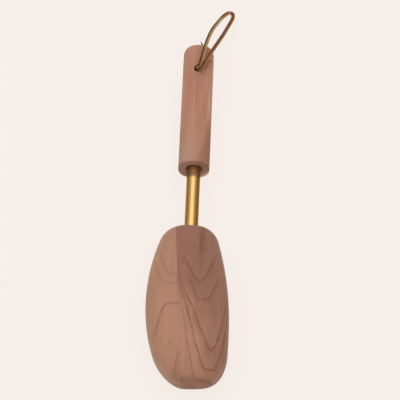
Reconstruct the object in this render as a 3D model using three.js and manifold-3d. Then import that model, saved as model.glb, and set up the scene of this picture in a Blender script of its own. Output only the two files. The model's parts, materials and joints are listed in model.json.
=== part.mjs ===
// Boot tree: a cedar forefoot block, a brass tube, a sprung cedar handle and a leather hanging loop.
// Millimetres. The tree lies on its flat sole, toe towards -Y and handle towards +Y, instep up (+Z),
// with the inner (medial) side of the foot towards +X.
import * as THREE from "three";
import { mergeVertices } from "three/addons/utils/BufferGeometryUtils.js";
import Module from "manifold-3d";

const wasm = await Module();
wasm.setup();

// Forefoot block: places along it count from its tube end, widths and heights from the tube's axis
const BLOCK_LENGTH = 151.5;
const BLOCK_WIDTH = 75;
const LATERAL_WIDEST = 73;
const LATERAL_SHOULDER = 22.5;
const LATERAL_TOE = 17.5;
const MEDIAL_WIDEST = 100;
const MEDIAL_SHOULDER = 21.8;
const MEDIAL_TOE = 35;
const INSTEP_RISE = 25;
const TOE_RISE = 20;
const SOLE_DEPTH = 25;
const SOLE_PLANED = 2; // planed off the rounded underside, which leaves the sole flat
const SHOULDER_ROUND = 14;
const TOE_ROUND = 16;
const TOE_DROP = 18.5; // the toe is rounder in height than in width
const TOE_ROUND_RUN = 28; // the toe's round edge is longer along the foot than it is deep
const END_FLAT = 1.5; // least flat left by the round edge of an end
const GLUE_AT_SHOULDER = -13.5; // the glue joint between the two boards runs at a slant
const GLUE_AT_TOE = -3;
const GLUE_LINE = 0.3;
const SIDE_POWER = 2.1; // how a side bows from its widest place to its ends
const BLOCK_SECTION_POWER = 2.8; // 2 is an ellipse, more is squarer

// Brass tube, fixed in the block and sliding in the handle
const TUBE_DIAMETER = 12.7;
const TUBE_WALL = 0.9;
const TUBE_IN_BLOCK = 55;
const TUBE_SHOWN = 68.2;
const TUBE_IN_HANDLE = 46;
const BORE_CLEARANCE = 0.3;

// Handle: a square stick with well-rounded edges, domed at its top
const HANDLE_LENGTH = 138;
const HANDLE_WIDTH = 29;
const HANDLE_SECTION_POWER = 2.5;
const DOME_HEIGHT = 11.5;
const MOUTH_CHAMFER = 1.5;
const LACE_HOLE_DIAMETER = 7.4;
const LACE_HOLE_FROM_TOP = 33.5;
const BORE_TO_LACE_HOLE = 6;

// Spring in the handle's bore, its seat on the tube's end, and how far the handle can be pushed in
const TRAVEL = 25;
const SPRING_DIAMETER = 11.4;
const SPRING_WIRE = 1.4;
const SPRING_TURNS = 10;
const SPRING_DEAD_TURNS = 1; // close turns at each end
const DEAD_TURN_GAP = 0.6;
const SEAT_HEAD = 3;
const SEAT_SPIGOT = 8;
const SEAT_GAP = 0.3; // left between faces that press on each other

// Brads: one fixes the tube in the block, one guides the tube in the handle
const BRAD_SHANK = 2.4;
const BRAD_HEAD = 3.6;
const BRAD_HEAD_HEIGHT = 1.2;
const BRAD_CLEARANCE = 0.3;
const BRAD_SUNK = 0.4; // head below the wood's surface
const BRAD_BITE = 3; // into the wood beyond the tube
const BLOCK_BRAD_FROM_SHOULDER = 22;
const GUIDE_BRAD_FROM_TUBE_END = 13;

// Leather lace, doubled through the handle's hole and knotted behind it
const LACE_DIAMETER = 3;
const LACE_STRAND_GAP = 0.5;
const LACE_STRANDS_TURN = 64; // degrees; 0 has the two strands side by side in the hole, 90 one above the other
const KNOT_WIDTH = 11;
const KNOT_HEIGHT = 7.6;
const KNOT_GAP = 0.3;
const TAIL_DIAMETER = 2.6;

// Facets
const ROUND_SIDES = 32;
const SMALL_SIDES = 14;
const SECTION_SIDES = 40;
const EDGE_STEPS = 5;
const BLOCK_STEPS = 10;
const DOME_STEPS = 7;
const SPRING_STEPS_PER_TURN = 8;
const SPRING_SIDES = 5;
const LACE_STEPS = 80;
const LACE_SIDES = 8;
const TAIL_STEPS = 8;
const PAST = 5; // how far a cutter reaches past the surface that it opens
const WELD = 1e-4;

// Places along the tube's axis
const TOE_Y = -(BLOCK_LENGTH + TUBE_SHOWN + HANDLE_LENGTH) / 2;
const SHOULDER_Y = TOE_Y + BLOCK_LENGTH;
const HANDLE_FOOT_Y = SHOULDER_Y + TUBE_SHOWN;
const HANDLE_TOP_Y = HANDLE_FOOT_Y + HANDLE_LENGTH;
const TUBE_FOOT_Y = SHOULDER_Y - TUBE_IN_BLOCK;
const TUBE_TOP_Y = HANDLE_FOOT_Y + TUBE_IN_HANDLE;
const LACE_HOLE_Y = HANDLE_TOP_Y - LACE_HOLE_FROM_TOP;
const BORE_END_Y = LACE_HOLE_Y - LACE_HOLE_DIAMETER / 2 - BORE_TO_LACE_HOLE;
const SEAT_TOP_Y = TUBE_TOP_Y + SEAT_GAP + SEAT_HEAD;
const BLOCK_BRAD_Y = SHOULDER_Y - BLOCK_BRAD_FROM_SHOULDER;
const GUIDE_BRAD_Y = TUBE_TOP_Y - GUIDE_BRAD_FROM_TUBE_END;
const TUBE_RADIUS = TUBE_DIAMETER / 2;
const BORE_RADIUS = TUBE_RADIUS + BORE_CLEARANCE;
const HANDLE_HALF = HANDLE_WIDTH / 2;

// The free loop's points from the middle of the hole's front mouth: left strand out, right strand back
const LOOP_POINTS = [
  [1.7, 1.2, 3.5],
  [3.3, 4.3, 8],
  [4.9, 10.8, 9.7],
  [6.8, 22.9, 6.6],
  [9.3, 36.9, 0.7],
  [12.8, 50.6, -5.4],
  [16.9, 64.7, -14.7],
  [20, 85.8, -36.3],
  [23.1, 89.7, -36.6],
  [25.9, 90.9, -35],
  [28.6, 90.5, -33.1],
  [31, 86.8, -30.4],
  [31.5, 82.5, -29.2],
  [30.2, 77.3, -28.1],
  [27.5, 69.6, -26.1],
  [23.4, 51, -13.5],
  [18.9, 34.4, -3.1],
  [14.4, 18.5, 6.6],
  [9.9, 4.8, 13.6],
  [6.4, -0.8, 11.6],
  [3.7, -3.2, 6.5],
];
// The two tails' points from the middle of the knot
const LONG_TAIL_POINTS = [
  [0, 0, 0],
  [0.8, 12, -2.6],
  [1.8, 28, -3.9],
  [2.9, 43, -4],
  [2.6, 52, -3.9],
  [0.6, 57.4, -3.8],
];
const SHORT_TAIL_POINTS = [
  [0, 0, 0],
  [-4.5, -9, -2.6],
  [-8, -18, -3.9],
  [-9.5, -26, -4],
];

const cedarLight = new THREE.MeshStandardMaterial({ color: 0xb3876d, roughness: 0.7 });
const cedarDark = new THREE.MeshStandardMaterial({ color: 0x94654f, roughness: 0.7 });
const cedarHandle = new THREE.MeshStandardMaterial({ color: 0xb2806b, roughness: 0.7 });
const brass = new THREE.MeshStandardMaterial({ color: 0xc8a25a, roughness: 0.25, metalness: 1 });
const steel = new THREE.MeshStandardMaterial({ color: 0x8c8c8a, roughness: 0.4, metalness: 1 });
const leather = new THREE.MeshStandardMaterial({ color: 0x6e4526, roughness: 0.6 });

const box = (x, y, z) => new THREE.BoxGeometry(x, y, z);
const vectors = (points) => points.map(([x, y, z]) => new THREE.Vector3(x, y, z));

// Solids for joining and cutting, and back to a drawable geometry

function solid(geometry) {
  const bare = geometry.clone();
  bare.deleteAttribute("normal");
  bare.deleteAttribute("uv");
  const merged = mergeVertices(bare, WELD);
  const triVerts = new Uint32Array(merged.index.array);
  const vertProperties = merged.attributes.position.array;
  return new wasm.Manifold(new wasm.Mesh({ numProp: 3, vertProperties, triVerts }));
}

function drawable(body) {
  const { vertProperties, triVerts } = body.getMesh();
  const geometry = new THREE.BufferGeometry();
  geometry.setAttribute("position", new THREE.BufferAttribute(vertProperties, 3));
  geometry.setIndex(new THREE.BufferAttribute(triVerts, 1));
  geometry.computeVertexNormals();
  return geometry;
}

const cut = (body, ...cutters) => cutters.reduce((left, cutter) => left.subtract(solid(cutter)), body);

// Shared forms

// A ring across the axis, between an ellipse and a rectangle, with its own reach to each of four sides.
function sectionRing(y, { lateral, medial, rise, drop }, power) {
  return Array.from({ length: SECTION_SIDES }, (_, k) => {
    const angle = (2 * Math.PI * k) / SECTION_SIDES;
    const across = Math.cos(angle);
    const upward = Math.sin(angle);
    const x = Math.sign(across) * Math.abs(across) ** (2 / power) * (across > 0 ? medial : lateral);
    const z = Math.sign(upward) * Math.abs(upward) ** (2 / power) * (upward > 0 ? rise : drop);
    return new THREE.Vector3(x, y, z);
  });
}

// A closed skin over rings of rising y, with flat ends.
function loft(rings) {
  const sides = rings[0].length;
  const last = (rings.length - 1) * sides;
  const faces = [];
  for (let ring = 0; ring < last; ring += sides) {
    for (let k = 0; k < sides; k++) {
      const next = (k + 1) % sides;
      faces.push(ring + k, ring + sides + k, ring + next);
      faces.push(ring + next, ring + sides + k, ring + sides + next);
    }
  }
  for (let k = 1; k < sides - 1; k++) {
    faces.push(0, k, k + 1);
    faces.push(last, last + k + 1, last + k);
  }
  const geometry = new THREE.BufferGeometry().setFromPoints(rings.flat());
  geometry.setIndex(faces);
  return geometry;
}

// A solid of revolution about the axis from [radius, y] corners, the outer side running towards +y.
function turned(corners, sides = ROUND_SIDES) {
  const profile = corners.map(([radius, y]) => new THREE.Vector2(radius, y));
  return new THREE.LatheGeometry(profile, sides);
}

const rod = (radius, from, to, sides) =>
  turned([[0, from], [radius, from], [radius, to], [0, to]], sides);

// A many-sided tube along a curve.
function tubeAlong(curve, diameter, sides, steps) {
  const outline = Array.from({ length: sides }, (_, k) => {
    const angle = (2 * Math.PI * k) / sides;
    return new THREE.Vector2(Math.cos(angle), Math.sin(angle)).multiplyScalar(diameter / 2);
  });
  const along = { steps, extrudePath: curve, bevelEnabled: false };
  return new THREE.ExtrudeGeometry(new THREE.Shape(outline), along);
}

// A headed brad, or with room its hole: head at y = 0, point towards +y.
function brad(length, room = 0) {
  const start = room > 0 ? -PAST : 0;
  const head = BRAD_HEAD / 2 + room;
  const shank = BRAD_SHANK / 2 + room;
  const shoulder = BRAD_HEAD_HEIGHT + room;
  const end = length + room;
  const headCorners = [[0, start], [head, start], [head, shoulder]];
  return turned([...headCorners, [shank, shoulder], [shank, end], [0, end]], SMALL_SIDES);
}

// The block

// Half width of one side, full at its widest place and bowed in to its two ends.
function sideReach(along, widest, shoulder, toe) {
  const run = along < widest ? widest : BLOCK_LENGTH - widest;
  const end = along < widest ? shoulder : toe;
  const bow = (Math.abs(along - widest) / run) ** SIDE_POWER;
  return BLOCK_WIDTH / 2 - (BLOCK_WIDTH / 2 - end) * bow;
}

// How far the round edge of an end, a quarter ellipse, draws the skin in at a distance from that end.
function edgeInset(distance, run, depth) {
  const within = Math.max(0, 1 - distance / run);
  return depth * (1 - Math.sqrt(1 - within * within));
}

function blockForm() {
  const bossFlat = BORE_RADIUS + END_FLAT;
  const shoulderWall = Math.min(LATERAL_SHOULDER, MEDIAL_SHOULDER, INSTEP_RISE, SOLE_DEPTH) - bossFlat;
  const shoulderRound = Math.min(SHOULDER_ROUND, shoulderWall);
  const toeRound = Math.min(TOE_ROUND, TOE_RISE - END_FLAT, LATERAL_TOE - END_FLAT, MEDIAL_TOE - END_FLAT);
  const toeDrop = Math.min(TOE_DROP, TOE_RISE - END_FLAT);
  const places = [];
  for (let k = EDGE_STEPS; k > 0; k--) {
    places.push(shoulderRound * (1 - Math.sin((k / EDGE_STEPS) * (Math.PI / 2))));
  }
  const straight = BLOCK_LENGTH - shoulderRound - TOE_ROUND_RUN;
  for (let k = 0; k <= BLOCK_STEPS; k++) {
    places.push(shoulderRound + (straight * k) / BLOCK_STEPS);
  }
  for (let k = 1; k <= EDGE_STEPS; k++) {
    places.push(BLOCK_LENGTH - TOE_ROUND_RUN * (1 - Math.sin((k / EDGE_STEPS) * (Math.PI / 2))));
  }
  const rings = places.reverse().map((along) => {
    const shoulderInset = edgeInset(along, shoulderRound, shoulderRound);
    const toeInset = edgeInset(BLOCK_LENGTH - along, TOE_ROUND_RUN, toeRound);
    const inset = shoulderInset + toeInset;
    const drawnIn = shoulderInset + edgeInset(BLOCK_LENGTH - along, TOE_ROUND_RUN, toeDrop);
    const reach = {
      lateral: sideReach(along, LATERAL_WIDEST, LATERAL_SHOULDER, LATERAL_TOE) - inset,
      medial: sideReach(along, MEDIAL_WIDEST, MEDIAL_SHOULDER, MEDIAL_TOE) - inset,
      rise: INSTEP_RISE + (TOE_RISE - INSTEP_RISE) * (along / BLOCK_LENGTH) - drawnIn,
      drop: SOLE_DEPTH + SOLE_PLANED - drawnIn,
    };
    return sectionRing(SHOULDER_Y - along, reach, BLOCK_SECTION_POWER);
  });
  const planed = box(2 * BLOCK_WIDTH, 2 * BLOCK_LENGTH, 2 * SOLE_DEPTH);
  planed.translate(0, (SHOULDER_Y + TOE_Y) / 2, -2 * SOLE_DEPTH);
  return cut(solid(loft(rings)), planed);
}

// All that lies on one side of the glue joint, and the joint; side is 1 for medial and -1 for lateral.
function glueSide(side) {
  const slant = Math.atan2(GLUE_AT_TOE - GLUE_AT_SHOULDER, BLOCK_LENGTH);
  const half = box(2 * BLOCK_WIDTH, 2 * BLOCK_LENGTH, 4 * SOLE_DEPTH + 4 * INSTEP_RISE);
  half.translate(side * (BLOCK_WIDTH - GLUE_LINE / 2), 0, 0);
  half.rotateZ(slant);
  return half.translate((GLUE_AT_SHOULDER + GLUE_AT_TOE) / 2, (SHOULDER_Y + TOE_Y) / 2, 0);
}

const blockBore = () => rod(BORE_RADIUS, TUBE_FOOT_Y - SEAT_GAP, SHOULDER_Y + PAST);
const blockBradLength = SOLE_DEPTH - BRAD_SUNK + TUBE_RADIUS + BRAD_BITE;
const blockBrad = (room) =>
  brad(blockBradLength, room).rotateX(Math.PI / 2).translate(0, BLOCK_BRAD_Y, BRAD_SUNK - SOLE_DEPTH);

// The tube, slotted for the guide brad's travel

function slideTube() {
  const inner = TUBE_RADIUS - TUBE_WALL;
  const outside = [[TUBE_RADIUS, TUBE_FOOT_Y], [TUBE_RADIUS, TUBE_TOP_Y]];
  const wall = [[inner, TUBE_FOOT_Y], ...outside, [inner, TUBE_TOP_Y]];
  const slotHalf = BRAD_SHANK / 2 + BRAD_CLEARANCE;
  const slot = new THREE.Shape();
  slot.absarc(0, 0, slotHalf, 0, Math.PI);
  slot.absarc(0, -TRAVEL, slotHalf, Math.PI, 2 * Math.PI);
  const through = { depth: 2 * TUBE_DIAMETER, bevelEnabled: false, curveSegments: SMALL_SIDES / 2 };
  const slotCut = new THREE.ExtrudeGeometry(slot, through);
  slotCut.translate(0, GUIDE_BRAD_Y, -TUBE_DIAMETER).rotateY(Math.PI / 2);
  return cut(solid(turned([...wall, wall[0]])), slotCut, blockBrad(BRAD_CLEARANCE));
}

// The handle and what is in it

const guideBradLength = HANDLE_HALF - BRAD_SUNK + BORE_RADIUS + BRAD_BITE;
const guideBrad = (room) =>
  brad(guideBradLength, room).rotateZ(Math.PI / 2).translate(HANDLE_HALF - BRAD_SUNK, GUIDE_BRAD_Y, 0);

function handle() {
  const ring = (y, half) =>
    sectionRing(y, { lateral: half, medial: half, rise: half, drop: half }, HANDLE_SECTION_POWER);
  const rings = [ring(HANDLE_FOOT_Y, HANDLE_HALF)];
  for (let k = 0; k < DOME_STEPS; k++) {
    const angle = (k / DOME_STEPS) * (Math.PI / 2);
    const y = HANDLE_TOP_Y - DOME_HEIGHT * (1 - Math.sin(angle));
    rings.push(ring(y, HANDLE_HALF * Math.cos(angle)));
  }
  rings.push(ring(HANDLE_TOP_Y, END_FLAT / 2));
  const mouth = BORE_RADIUS + MOUTH_CHAMFER;
  const bore = turned([
    [0, HANDLE_FOOT_Y - PAST],
    [mouth + PAST, HANDLE_FOOT_Y - PAST],
    [BORE_RADIUS, HANDLE_FOOT_Y + MOUTH_CHAMFER],
    [BORE_RADIUS, BORE_END_Y],
    [0, BORE_END_Y],
  ]);
  const laceHole = rod(LACE_HOLE_DIAMETER / 2, -HANDLE_WIDTH, HANDLE_WIDTH, 2 * SMALL_SIDES);
  laceHole.rotateX(Math.PI / 2).translate(0, LACE_HOLE_Y, 0);
  return cut(solid(loft(rings)), bore, guideBrad(BRAD_CLEARANCE), laceHole);
}

function springSeat() {
  const spigot = TUBE_RADIUS - TUBE_WALL - SEAT_GAP;
  const shoulder = TUBE_TOP_Y + SEAT_GAP;
  const foot = shoulder - SEAT_SPIGOT;
  const corners = [[0, foot], [spigot, foot], [spigot, shoulder]];
  return turned([...corners, [TUBE_RADIUS, shoulder], [TUBE_RADIUS, SEAT_TOP_Y], [0, SEAT_TOP_Y]]);
}

// A helix about the axis whose end turns lie close.
class SpringCurve extends THREE.Curve {
  getPoint(t) {
    const radius = (SPRING_DIAMETER - SPRING_WIRE) / 2;
    const from = SEAT_TOP_Y + SEAT_GAP + SPRING_WIRE / 2;
    const to = BORE_END_Y - SEAT_GAP - SPRING_WIRE / 2;
    const closeRise = SPRING_DEAD_TURNS * (SPRING_WIRE + DEAD_TURN_GAP);
    const openTurns = SPRING_TURNS - 2 * SPRING_DEAD_TURNS;
    const turn = t * SPRING_TURNS;
    const low = Math.min(turn, SPRING_DEAD_TURNS) / SPRING_DEAD_TURNS;
    const high = Math.max(turn - SPRING_TURNS + SPRING_DEAD_TURNS, 0) / SPRING_DEAD_TURNS;
    const open = THREE.MathUtils.clamp((turn - SPRING_DEAD_TURNS) / openTurns, 0, 1);
    const y = from + closeRise * (low + high) + (to - from - 2 * closeRise) * open;
    const angle = 2 * Math.PI * turn;
    return new THREE.Vector3(radius * Math.cos(angle), y, radius * Math.sin(angle));
  }
}

// Least distance between wires of neighbouring turns, on points of the wire's middle.
function leastTurnGap(curve) {
  const points = curve.getPoints(SPRING_TURNS * SPRING_STEPS_PER_TURN);
  let least = Infinity;
  points.forEach((point, i) => {
    for (const other of points.slice(i + SPRING_STEPS_PER_TURN / 2)) {
      least = Math.min(least, point.distanceTo(other) - SPRING_WIRE);
    }
  });
  return least;
}

// The lace: up one side of the hole, round the loop, down the other side, then the knot and its tails

const KNOT_Z = -HANDLE_HALF - KNOT_GAP - KNOT_HEIGHT / 2;

function laceCurve() {
  const side = (LACE_DIAMETER + LACE_STRAND_GAP) / 2;
  const drop = Math.sqrt(1 - (2 * side / KNOT_WIDTH) ** 2);
  const foot = KNOT_Z + (KNOT_HEIGHT / 2) * drop + KNOT_GAP;
  const inHole = [foot, foot / 2, 0, HANDLE_HALF / 2, HANDLE_HALF];
  const turn = THREE.MathUtils.degToRad(LACE_STRANDS_TURN);
  const [aside, above] = [side * Math.cos(turn), side * Math.sin(turn)];
  const up = inHole.map((z) => [-aside, LACE_HOLE_Y + above, z]);
  const down = inHole.reverse().map((z) => [aside, LACE_HOLE_Y - above, z]);
  const free = LOOP_POINTS.map(([x, y, z]) => [x, y + LACE_HOLE_Y, z + HANDLE_HALF]);
  return new THREE.CatmullRomCurve3(vectors([...up, ...free, ...down]));
}

function laceKnot() {
  const tail = (points) =>
    tubeAlong(new THREE.CatmullRomCurve3(vectors(points)), TAIL_DIAMETER, LACE_SIDES, TAIL_STEPS);
  const lump = new THREE.SphereGeometry(KNOT_WIDTH / 2, SMALL_SIDES, SMALL_SIDES / 2);
  lump.rotateX(Math.PI / 2).scale(1, 1, KNOT_HEIGHT / KNOT_WIDTH);
  const knot = solid(lump).add(solid(tail(LONG_TAIL_POINTS))).add(solid(tail(SHORT_TAIL_POINTS)));
  return drawable(knot).translate(0, LACE_HOLE_Y, KNOT_Z);
}

// The tree, raised so that its sole is at z = 0

const tree = new THREE.Group();
tree.position.z = SOLE_DEPTH;

function add(name, geometry, material) {
  const mesh = new THREE.Mesh(geometry, material);
  mesh.name = name;
  tree.add(mesh);
}

const block = blockForm();
const spring = new SpringCurve();
const medialBoard = cut(block, glueSide(-1), blockBore(), blockBrad(BRAD_CLEARANCE));
add("block_lateral_board", drawable(cut(block, glueSide(1), blockBore())), cedarLight);
add("block_medial_board", drawable(medialBoard), cedarDark);
add("slide_tube", drawable(slideTube()), brass);
add("block_brad", blockBrad(), steel);
add("handle", drawable(handle()), cedarHandle);
add("guide_brad", guideBrad(), steel);
add("spring_seat", springSeat(), steel);
add("spring", tubeAlong(spring, SPRING_WIRE, SPRING_SIDES, SPRING_TURNS * SPRING_STEPS_PER_TURN), steel);
add("lace_loop", tubeAlong(laceCurve(), LACE_DIAMETER, LACE_SIDES, LACE_STEPS), leather);
add("lace_knot", laceKnot(), leather);

console.log(`spring: least gap between turns ${leastTurnGap(spring).toFixed(2)} mm`);

const bootTree = new THREE.Group();
bootTree.add(tree);

export default bootTree;
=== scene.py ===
# Boot tree: a cedar forefoot block on a brass tube, a sprung cedar handle and a leather hanging loop.
# It lies on its flat sole, toe towards -Y, handle towards +Y, inner side of the foot towards +X.
import json
import math

import bmesh
import bpy
from mathutils import Matrix, Vector


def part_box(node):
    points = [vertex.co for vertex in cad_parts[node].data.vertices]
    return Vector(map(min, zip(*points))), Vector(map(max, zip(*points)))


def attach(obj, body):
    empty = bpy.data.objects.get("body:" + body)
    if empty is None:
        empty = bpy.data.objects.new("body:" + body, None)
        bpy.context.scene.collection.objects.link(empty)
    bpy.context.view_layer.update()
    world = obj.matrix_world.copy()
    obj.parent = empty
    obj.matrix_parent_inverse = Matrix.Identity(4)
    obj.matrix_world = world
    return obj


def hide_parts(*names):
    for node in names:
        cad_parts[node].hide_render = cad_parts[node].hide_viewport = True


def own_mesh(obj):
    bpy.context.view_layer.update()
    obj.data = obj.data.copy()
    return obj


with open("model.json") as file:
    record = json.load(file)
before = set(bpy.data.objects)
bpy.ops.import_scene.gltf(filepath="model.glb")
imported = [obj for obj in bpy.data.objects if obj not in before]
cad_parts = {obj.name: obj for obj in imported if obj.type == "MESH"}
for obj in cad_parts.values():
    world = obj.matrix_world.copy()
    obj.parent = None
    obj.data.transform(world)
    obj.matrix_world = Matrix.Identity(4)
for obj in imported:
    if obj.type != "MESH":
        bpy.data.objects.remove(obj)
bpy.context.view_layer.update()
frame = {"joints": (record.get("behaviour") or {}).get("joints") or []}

MM = 0.001

# Places and sizes that the frame gives
tube_low, tube_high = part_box("slide_tube")
grip_low, grip_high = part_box("handle")
seat_low, seat_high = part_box("spring_seat")
spring_low, spring_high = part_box("spring")
sole_brad_low, sole_brad_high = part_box("block_brad")
grip_brad_low, grip_brad_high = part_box("guide_brad")
medial_low, medial_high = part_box("block_medial_board")
joints = {joint["name"]: joint for joint in frame["joints"]}

CLEARANCE = 0.3 * MM  # between pieces that fit into each other
AXIS_Z = (tube_low.z + tube_high.z) / 2
TUBE_RADIUS = (tube_high.z - tube_low.z) / 2
TUBE_WALL = 0.9 * MM
BORE_RADIUS = TUBE_RADIUS + CLEARANCE
TOE_Y = medial_low.y
SHOULDER_Y = medial_high.y
BLOCK_LENGTH = SHOULDER_Y - TOE_Y
BLOCK_HALF = medial_high.x
GRIP_HALF = grip_high.x
HOLE_Y = joints["loop_swing"]["pos_m"][1]
TRAVEL = joints["handle_slide"]["range_m"][1]
BORE_END_Y = joints["handle_slide"]["deforming_nodes"][0]["fixed_end_y_m"]

# Forefoot block: places along it count from its tube end, widths and heights from the tube's axis
LATERAL_WIDEST, LATERAL_SHOULDER, LATERAL_TOE = 73 * MM, 22.5 * MM, 17.5 * MM
MEDIAL_WIDEST, MEDIAL_SHOULDER, MEDIAL_TOE = 100 * MM, 21.8 * MM, 35 * MM
INSTEP_RISE, TOE_RISE = 25 * MM, 20 * MM
SOLE_PLANED = 2 * MM
SHOULDER_ROUND = 14 * MM
TOE_ROUND, TOE_DROP, TOE_ROUND_RUN = 16 * MM, 18.5 * MM, 28 * MM
GLUE_AT_SHOULDER, GLUE_AT_TOE = -13.5 * MM, -3 * MM
GLUE_FILM = 0.06 * MM
BOARD_EDGE = 0.25 * MM
SIDE_POWER = 2.1
BLOCK_SECTION_POWER = 2.8

# Handle
GRIP_SECTION_POWER = 2.5
DOME_HEIGHT, DOME_TOP = 11.5 * MM, 0.4 * MM
FOOT_EDGE = 0.7 * MM
MOUTH_CHAMFER = 1.5 * MM
LACE_HOLE_RADIUS = 3.7 * MM
LACE_HOLE_RIM = 0.35 * MM

# Fastenings
BRAD_HEAD, BRAD_SHANK, BRAD_TIP = 1.8 * MM, 1.2 * MM, 0.15 * MM
BRAD_HEAD_HEIGHT, BRAD_CROWN, BRAD_NECK = 1.2 * MM, 0.25 * MM, 0.2 * MM
BRAD_POINT = 2.2 * MM
SPRING_WIRE = 1.4 * MM
SPRING_TURNS, SPRING_DEAD_TURNS = 10, 1
DEAD_TURN_RISE = 2 * MM
TUBE_EDGE, SEAT_EDGE = 0.25 * MM, 0.4 * MM
# A brad is made head at the origin, point towards +Y. Its seat says where it then goes and how it is turned.
SOLE_BRAD_Y = (sole_brad_low.y + sole_brad_high.y) / 2
GRIP_BRAD_Y = (grip_brad_low.y + grip_brad_high.y) / 2
SOLE_BRAD_SEAT = ((0, SOLE_BRAD_Y, sole_brad_low.z), (math.pi / 2, 0, 0))
GRIP_BRAD_SEAT = ((grip_brad_high.x, GRIP_BRAD_Y, AXIS_Z), (0, 0, math.pi / 2))

# Lace: a strip of leather with cut edges
LACE_WIDTH = 3.5 * MM
LACE_THICKNESS = 2.9 * MM
LACE_STRAND = 1.75 * MM  # from the middle of the hole to the middle of a strand
LACE_STRANDS_TURN = math.radians(64)  # 0 has the strands side by side in the hole, 90 one above the other

REACH_PAST = 6 * MM  # how far a cutter goes past the surface that it opens
SLIVER = 0.003 * MM  # points that lie closer than this after a cut are one
TOUCHING = 0.001 * MM  # points that lie closer than this are in one place
TIP_SHARE = 0.2  # how thick a tapered strip is at its tip


# Modelling


def only(piece):
    bpy.ops.object.select_all(action="DESELECT")
    piece.select_set(True)
    bpy.context.view_layer.objects.active = piece


def edit_all(piece):
    """Opens a piece in edit mode, all of it selected."""
    only(piece)
    bpy.ops.object.mode_set(mode="EDIT")
    bpy.ops.mesh.select_all(action="SELECT")


def settle(piece, place=(0, 0, 0), turn=(0, 0, 0)):
    """Moves and turns a piece, and puts its new place in its mesh."""
    piece.location = place
    piece.rotation_euler = turn
    only(piece)
    bpy.ops.object.transform_apply(location=True, rotation=True, scale=True)
    return piece


def apply(piece, kind, **settings):
    """Adds a modifier and applies it."""
    step = piece.modifiers.new(kind.lower(), kind)
    for key, value in settings.items():
        setattr(step, key, value)
    only(piece)
    bpy.ops.object.modifier_apply(modifier=step.name)


def carve(piece, *cutters):
    """Cuts the cutters' shapes out of a piece, deletes them, and closes the slivers that a cut can leave."""
    for cutter in cutters:
        apply(piece, "BOOLEAN", object=cutter, operation="DIFFERENCE", solver="EXACT")
        bpy.data.objects.remove(cutter)
    edit_all(piece)
    bpy.ops.mesh.remove_doubles(threshold=SLIVER)
    bpy.ops.mesh.dissolve_degenerate(threshold=SLIVER)
    bpy.ops.object.mode_set(mode="OBJECT")
    return piece


def plane_off(piece, place, normal):
    """Cuts off what lies on the normal's side of a plane, and closes the cut."""
    edit_all(piece)
    bpy.ops.mesh.bisect(plane_co=place, plane_no=normal, use_fill=True, clear_outer=True, threshold=TOUCHING)
    bpy.ops.object.mode_set(mode="OBJECT")


def smooth(piece, angle=35):
    """Shades a piece smoothly over edges below the angle. Large flat faces stay flat to the eye."""
    only(piece)
    bpy.ops.object.shade_smooth_by_angle(angle=math.radians(angle))
    apply(piece, "WEIGHTED_NORMAL", keep_sharp=True)
    return piece


def loft(name, power, stations, corner_steps):
    """A closed body about the Y axis. A square plate, its corners rounded until it lies between a circle
    (power 2) and a square, is extruded from station to station. A station is (y, towards -X, +X, +Z
    and -Z)."""
    seed = 10 * MM
    bpy.ops.object.select_all(action="DESELECT")
    bpy.ops.mesh.primitive_plane_add(size=2 * seed, rotation=(math.pi / 2, 0, 0))
    piece = bpy.context.object
    piece.name = name
    bpy.ops.object.transform_apply(rotation=True)
    bpy.ops.object.mode_set(mode="EDIT")
    bpy.ops.mesh.select_mode(type="VERT")
    bpy.ops.mesh.select_all(action="SELECT")
    bpy.ops.mesh.bevel(affect="VERTICES", offset=seed, segments=corner_steps, profile=2 ** (-2 / power))
    bpy.ops.mesh.remove_doubles(threshold=TOUCHING)
    at_y, reach = 0, [seed] * 4
    for k, (y, *wanted) in enumerate(stations):
        bpy.ops.mesh.select_mode(type="VERT")
        if k:
            bpy.ops.mesh.extrude_region_move(TRANSFORM_OT_translate={"value": (0, y - at_y, 0)})
        else:
            bpy.ops.transform.translate(value=(0, y, 0))
        shape = bmesh.from_edit_mesh(piece.data)
        ring = [v for v in shape.verts if v.select]
        sides = ((0, -1), (0, 1), (2, 1), (2, -1))
        for (axis, sign), old, new in zip(sides, reach, wanted):
            for v in ring:
                v.select = v.co[axis] * sign > 0
            scale = [1, 1, 1]
            scale[axis] = new / old
            bpy.ops.transform.resize(value=scale, center_override=(0, y, 0))
        for v in ring:
            v.select = True
        shape.select_flush(True)
        bmesh.update_edit_mesh(piece.data)
        at_y, reach = y, wanted
    bpy.ops.mesh.select_all(action="SELECT")
    bpy.ops.mesh.normals_make_consistent(inside=False)
    bpy.ops.object.mode_set(mode="OBJECT")
    return piece


def turned(name, profile, corner_steps=12):
    """A body of revolution about the Y axis, from (y, radius) pairs."""
    return loft(name, 2, [(y, radius, radius, radius, radius) for y, radius in profile], corner_steps)


def quarter(steps):
    """Angles of a round edge, from its start to its end."""
    return [math.pi / 2 * k / steps for k in range(steps + 1)]


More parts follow.
